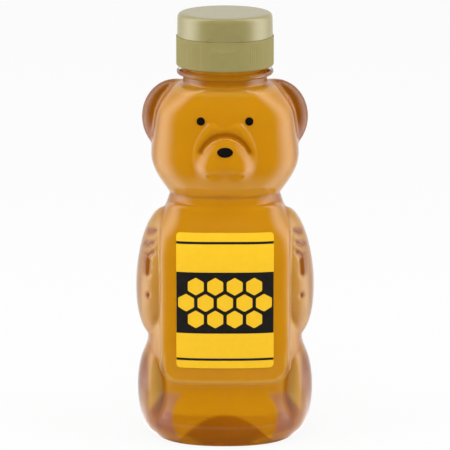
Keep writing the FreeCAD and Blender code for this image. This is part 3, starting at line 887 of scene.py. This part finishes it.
def rounded(corners, steps=5):
    """Closed profile with rounded corners, from (radius, height, round)."""
    out = []
    count = len(corners)
    for i, (r, z, edge) in enumerate(corners):
        here = np.array((r, z), float)
        if edge <= 0:
            out.append(here)
            continue
        before = np.array(corners[i - 1][:2], float) - here
        after = np.array(corners[(i + 1) % count][:2], float) - here
        a = here + before / np.linalg.norm(before) * edge
        b = here + after / np.linalg.norm(after) * edge
        for t in np.linspace(0, 1, steps):
            out.append((1 - t) ** 2 * a + 2 * t * (1 - t) * here + t * t * b)
    return np.array(out)


def densify(profile, longest=0.4):
    """Profile with extra points on its long stretches, more of them on the outside wall."""
    out = []
    for a, b in zip(profile, np.roll(profile, -1, axis=0)):
        stretch = longest if min(a[0], b[0]) > OUTER_WALL else 4 * longest
        parts = max(1, math.ceil(np.linalg.norm(b - a) / stretch))
        out.extend(a + (b - a) * k / parts for k in range(parts))
    return np.array(out)


def lathe(name, profile, steps, trim):
    """Mesh turned about Z from a closed profile, its radius trimmed by angle (0 is the front)."""
    angle = np.arange(steps) / steps * 2 * np.pi
    grid_a, grid_i = np.meshgrid(angle, np.arange(len(profile)), indexing="ij")
    z = profile[grid_i, 1]
    r = trim(grid_a, profile[grid_i, 0], z)
    points = np.stack([r * np.sin(grid_a), -r * np.cos(grid_a), z], -1).reshape(-1, 3)
    index = np.arange(steps * len(profile)).reshape(steps, len(profile))
    ahead = np.roll(index, -1, axis=0)
    corners = [index, ahead, np.roll(ahead, -1, axis=1), np.roll(index, -1, axis=1)]
    thing = to_mesh(name, points, np.stack(corners, -1).reshape(-1, 4))
    welded = bmesh.new()
    welded.from_mesh(thing.data)
    bmesh.ops.remove_doubles(welded, verts=welded.verts, dist=1e-7)
    welded.to_mesh(thing.data)
    welded.free()
    return thing


def cut_back(angle, r, z):
    """Radius cut back by the thumb recess at the front and by the flat for the hinge behind."""
    ahead = np.cos(angle)
    x = np.where(ahead > 0.5, r * np.sin(angle), FAR)
    fall = np.maximum(1 - (x / RECESS_HALF) ** 2, 1e-6)
    low = np.sqrt(np.maximum(1 - (PARTING - z) ** 2 / (RECESS_DROP ** 2 * fall), 0))
    rise = np.clip((z - PARTING) / RECESS_RISE, 0, 1)
    half = RECESS_HALF - (RECESS_HALF - RECESS_TOP_HALF) * rise
    high = LID_BITE * (1 - LID_BITE_LOSS * rise) * np.maximum(1 - (x / half) ** 2, 0)
    high = high * (z < PARTING + RECESS_RISE)
    bite = np.where(z > PARTING, high, low * fall) * (fall > 1e-3)
    out = np.where(r > OUTER_WALL, r - bite, r)
    behind = np.where(-ahead > 0.3, HINGE_FLAT / np.maximum(-ahead, 0.3), FAR)
    return np.where((r > HINGE_FLAT_RADIUS) & (z > HINGE_FLAT_LOW), np.minimum(out, behind), out)


def ribbed(angle, r, z):
    """Radius of the screw skirt with its grip ribs."""
    turn = np.degrees(np.minimum(angle, 2 * np.pi - angle))
    rib = 0.5 - 0.5 * np.cos(np.radians((turn - RIB_START) / RIB_PITCH * 360))
    reach = np.clip((z - RIB_LOW) / RIB_END, 0, 1) * np.clip((RIB_HIGH - z) / RIB_END, 0, 1)
    reach = reach * ((turn > RIB_START) & (turn < RIB_START + RIB_COUNT * RIB_PITCH))
    return cut_back(angle, r - np.where(r > RIB_WALL, RIB_DEPTH * rib * reach, 0), z)


def helix(name, wall, crest, low, turns, half):
    """Screw thread inside a wall as a ridge of three sides, fading at its ends."""
    angle = np.linspace(0, turns * 2 * np.pi, THREAD_STEPS)
    fade = np.clip(np.minimum(angle, angle[-1] - angle) / CAP_THREAD_RUN_OUT, CAP_THREAD_LEAST, 1)
    flat = half * CAP_THREAD_FLAT
    rows = []
    for out, up in ((0, -half), (-crest, -flat), (-crest, flat), (0, half)):
        r = wall + CAP_THREAD_ROOT + (out - CAP_THREAD_ROOT) * fade
        z = low + angle / (2 * np.pi) * THREAD_PITCH + up
        rows.append(np.stack([r * np.cos(angle), r * np.sin(angle), z], -1))
    points = np.concatenate(rows)
    index = np.arange(len(points)).reshape(4, -1)
    faces = []
    for k in range(4):
        a, b = index[k], index[(k + 1) % 4]
        faces.extend(zip(a[:-1], a[1:], b[1:], b[:-1]))
    faces += [tuple(index[::-1, 0]), tuple(index[:, -1])]
    return to_mesh(name, points, faces)


def make_cap():
    """Screw skirt with deck and spout, the lid over it and the thread inside."""
    skirt = densify(rounded([
        (SKIRT_BORE, SKIRT_LOW, 0.2), (SKIRT_RADIUS, SKIRT_LOW, 0.7), (SKIRT_RADIUS, PARTING, 0.05),
        (SPOUT_RADIUS, PARTING, 0.4), (SPOUT_RADIUS, SPOUT_TOP, 0.5), (SPOUT_BORE, SPOUT_TOP, 0.3),
        (SPOUT_BORE, DECK_UNDER, 0.2), (SKIRT_BORE, DECK_UNDER, 0.3),
    ]))
    own(lathe("screw_cap", skirt, SKIRT_STEPS, ribbed), "cap", SKIRT, "cap_plastic", "cap_base")
    lid = densify(rounded([
        (LID_FOOT_BORE, LID_FOOT, 0.05), (LID_FOOT_RADIUS, LID_FOOT, 0.03), (LID_TOP_RADIUS, LID_TOP, 2.0),
        (0, LID_TOP, 0), (0, PLUG_TIP, 0), (PLUG_RADIUS, PLUG_TIP, 0.4), (PLUG_RADIUS, LID_ROOF, 0.3),
        (LID_ROOF_BORE, LID_ROOF, 0.6),
    ]))
    own(lathe("flip_top", lid, LID_STEPS, cut_back), "lid", CAP, "cap_plastic", "flip_lid")
    own(helix("cap_thread", SKIRT_BORE, *CAP_THREAD), "cap", CAP, "cap_plastic")


def make_hinge():
    """Living hinge: a web between the skirt and the lid, notched where it folds."""
    section = []
    for z in np.linspace(WEB_LOW, WEB_HIGH, WEB_ROWS):
        notch = WEB_NOTCH * max(0.0, 1 - abs(z - WEB_FOLD) / WEB_NOTCH_HALF)
        section.append((z, WEB_OUTSIDE - notch))
    points = []
    for x in np.linspace(-WEB_HALF_WIDTH, WEB_HALF_WIDTH, WEB_COLUMNS):
        points += [(x, y, z) for z, y in section]
        points += [(x, WEB_INSIDE, z) for z, _ in section[::-1]]
    count = 2 * len(section)
    last = (WEB_COLUMNS - 1) * count
    faces = []
    for start in range(0, last, count):
        for k in range(count):
            a = start + k
            b = start + (k + 1) % count
            faces.append((a, a + count, b + count, b))
    faces.append(tuple(range(count)))
    faces.append(tuple(range(last + count - 1, last - 1, -1)))
    thing = to_mesh("hinge_web", points, faces, smooth=False)
    thing.data.materials.append(CAP)
    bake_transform(thing)
    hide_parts("living_hinge")


def dress_seals():
    """Better materials on the two CAD pieces that stay."""
    for name, material in (("foil_seal", FOIL), ("cap_gasket", FOAM)):
        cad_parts[name].data.materials.clear()
        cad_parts[name].data.materials.append(material)


# Studio: one pale floor, soft lamps, a white surround


def math_node(tree, operation, first, second):
    """Output of an operation on two values, each a number or a socket."""
    node = tree.nodes.new("ShaderNodeMath")
    node.operation = operation
    for socket, value in zip(node.inputs, (first, second)):
        if isinstance(value, float):
            socket.default_value = value
        else:
            tree.links.new(value, socket)
    return node.outputs[0]


def share_of(tree, rays, share):
    """Factor that is share for the named kinds of rays and 0 for others."""
    path = tree.nodes.new("ShaderNodeLightPath")
    found = path.outputs[rays[0]]
    for kind in rays[1:]:
        found = math_node(tree, "MAXIMUM", found, path.outputs[kind])
    return math_node(tree, "MULTIPLY", found, share)


def faded(tree, source, start, end, low, high):
    """Value that runs from low at start to high at end."""
    fade = tree.nodes.new("ShaderNodeMapRange")
    fade.interpolation_type = "SMOOTHSTEP"
    for name, value in (("From Min", start), ("From Max", end), ("To Min", low), ("To Max", high)):
        fade.inputs[name].default_value = value
    tree.links.new(source, fade.inputs["Value"])
    return fade.outputs["Result"]


def blended(tree, factor, first, second):
    """Value between two others, each a number or a socket."""
    mix = tree.nodes.new("ShaderNodeMix")
    mix.data_type = "FLOAT"
    for name, value in (("Factor", factor), ("A", first), ("B", second)):
        if isinstance(value, float):
            mix.inputs[name].default_value = value
        else:
            tree.links.new(value, mix.inputs[name])
    return mix.outputs["Result"]


def vector_node(tree, operation, source):
    """Vector node with its first input linked."""
    node = tree.nodes.new("ShaderNodeVectorMath")
    node.operation = operation
    tree.links.new(source, node.inputs[0])
    return node


def near_levels(tree, place):
    """Levels in front and at the sides on the floor, by one over the distance from its middle in metres."""
    length = vector_node(tree, "LENGTH", place).outputs["Value"]
    nearness = math_node(tree, "DIVIDE", 1.0, length)
    front = faded(tree, nearness, *FRONT_NEARING, FRONT_LEVEL, FRONT_LEVEL_NEAR)
    front = blended(tree, faded(tree, nearness, *FRONT_UNDER, 0.0, 1.0), front, FRONT_LEVEL_UNDER)
    side = faded(tree, nearness, *SIDE_NEARING, SIDE_LEVEL, SIDE_LEVEL_NEAR)
    return front, side


def side_light(tree, kind, near):
    """Level in reflections by direction: bright at the sides, softer behind and dark in front."""
    place = tree.nodes.new("ShaderNodeTexCoord").outputs[kind]
    level = vector_node(tree, "MULTIPLY", place)
    level.inputs[1].default_value = (1, 1, 0)
    way = vector_node(tree, "NORMALIZE", level.outputs["Vector"])
    split = tree.nodes.new("ShaderNodeSeparateXYZ")
    tree.links.new(way.outputs["Vector"], split.inputs[0])
    back = split.outputs["Y"]
    front, side = near_levels(tree, place) if near else (FRONT_LEVEL, SIDE_LEVEL)
    behind = blended(tree, faded(tree, back, *SIDE_TO_BACK, 0.0, 1.0), side, BACK_LEVEL)
    return blended(tree, faded(tree, back, *FRONT_TO_SIDE, 0.0, 1.0), front, behind)


def floor_white():
    """Floor that takes shadows, white to the eye and through glass, lit from the sides in reflections."""
    material = bpy.data.materials.new("floor_white")
    material.use_nodes = True
    tree = material.node_tree
    tree.nodes.remove(tree.nodes["Principled BSDF"])
    diffuse = tree.nodes.new("ShaderNodeBsdfDiffuse")
    diffuse.inputs["Color"].default_value = (FLOOR_GREY, FLOOR_GREY, FLOOR_GREY, 1)
    glow = tree.nodes.new("ShaderNodeEmission")
    glow.inputs["Color"].default_value = (1, 1, 1, 1)
    glow.inputs["Strength"].default_value = 1.0
    sheen = tree.nodes.new("ShaderNodeEmission")
    tree.links.new(side_light(tree, "Object", True), sheen.inputs["Strength"])
    found = diffuse.outputs[0]
    for rays, share, other in (
        (["Is Glossy Ray"], 1.0, sheen),
        (["Is Camera Ray", "Is Transmission Ray"], FLOOR_GLOW_SHARE, glow),
    ):
        mix = tree.nodes.new("ShaderNodeMixShader")
        tree.links.new(share_of(tree, rays, share), mix.inputs["Fac"])
        tree.links.new(found, mix.inputs[1])
        tree.links.new(other.outputs[0], mix.inputs[2])
        found = mix.outputs[0]
    tree.links.new(found, tree.nodes["Material Output"].inputs["Surface"])
    return material


def stage_floor():
    """One large square floor."""
    mesh = bpy.data.meshes.new("floor")
    corners = [(x * FLOOR_REACH, y * FLOOR_REACH, 0) for x, y in ((-1, -1), (1, -1), (1, 1), (-1, 1))]
    mesh.from_pydata(corners, [], [(0, 1, 2, 3)])
    mesh.materials.append(floor_white())
    floor = bpy.data.objects.new("floor", mesh)
    bpy.context.scene.collection.objects.link(floor)


def surround():
    """World that is white to the eye and through glass, and lit from the sides in reflections."""
    world = bpy.data.worlds.new("studio")
    bpy.context.scene.world = world
    world.use_nodes = True
    tree = world.node_tree
    back = tree.nodes["Background"]
    back.inputs["Color"].default_value = (1, 1, 1, 1)
    gloss = share_of(tree, ["Is Glossy Ray"], 1.0)
    seen = share_of(tree, ["Is Camera Ray", "Is Transmission Ray"], 1.0)
    level = blended(tree, gloss, WORLD_LEVEL, side_light(tree, "Generated", False))
    tree.links.new(blended(tree, seen, level, 1.0), back.inputs["Strength"])


def aimed(thing, place, aim):
    """Put a lamp or camera in its place, looking at a point."""
    bpy.context.scene.collection.objects.link(thing)
    thing.location = place
    thing.rotation_euler = (Vector(aim) - Vector(place)).to_track_quat("-Z", "Y").to_euler()


def lamp(name, place, aim, size, watts):
    """Soft lamp that reflections don't show."""
    data = bpy.data.lights.new(name, "AREA")
    data.shape = "RECTANGLE"
    data.size, data.size_y = size
    data.energy = watts
    thing = bpy.data.objects.new(name, data)
    aimed(thing, place, aim)
    thing.visible_glossy = False


def lamps():
    """A tall strip at each side and a square one above the camera."""
    x, y, z = STRIP_PLACE
    lamp("left_strip", (-x, y, z), STRIP_AIM, STRIP_SIZE, STRIP_WATTS)
    lamp("right_strip", (x, y, z), STRIP_AIM, STRIP_SIZE, STRIP_WATTS)
    lamp("top", TOP_PLACE, TOP_AIM, TOP_SIZE, TOP_WATTS)


def photo_camera():
    """Camera at the photograph's angle."""
    data = bpy.data.cameras.new("camera")
    data.sensor_width = CAMERA_SENSOR
    data.lens = CAMERA_LENS
    data.clip_end = CAMERA_FAR
    camera = bpy.data.objects.new("camera", data)
    aimed(camera, CAMERA_PLACE, CAMERA_AIM)
    bpy.context.scene.camera = camera


make_bottle()
make_label()
make_face()
make_cap()
make_hinge()
dress_seals()
stage_floor()
surround()
lamps()
photo_camera()
bpy.context.scene.view_settings.view_transform = "Standard"
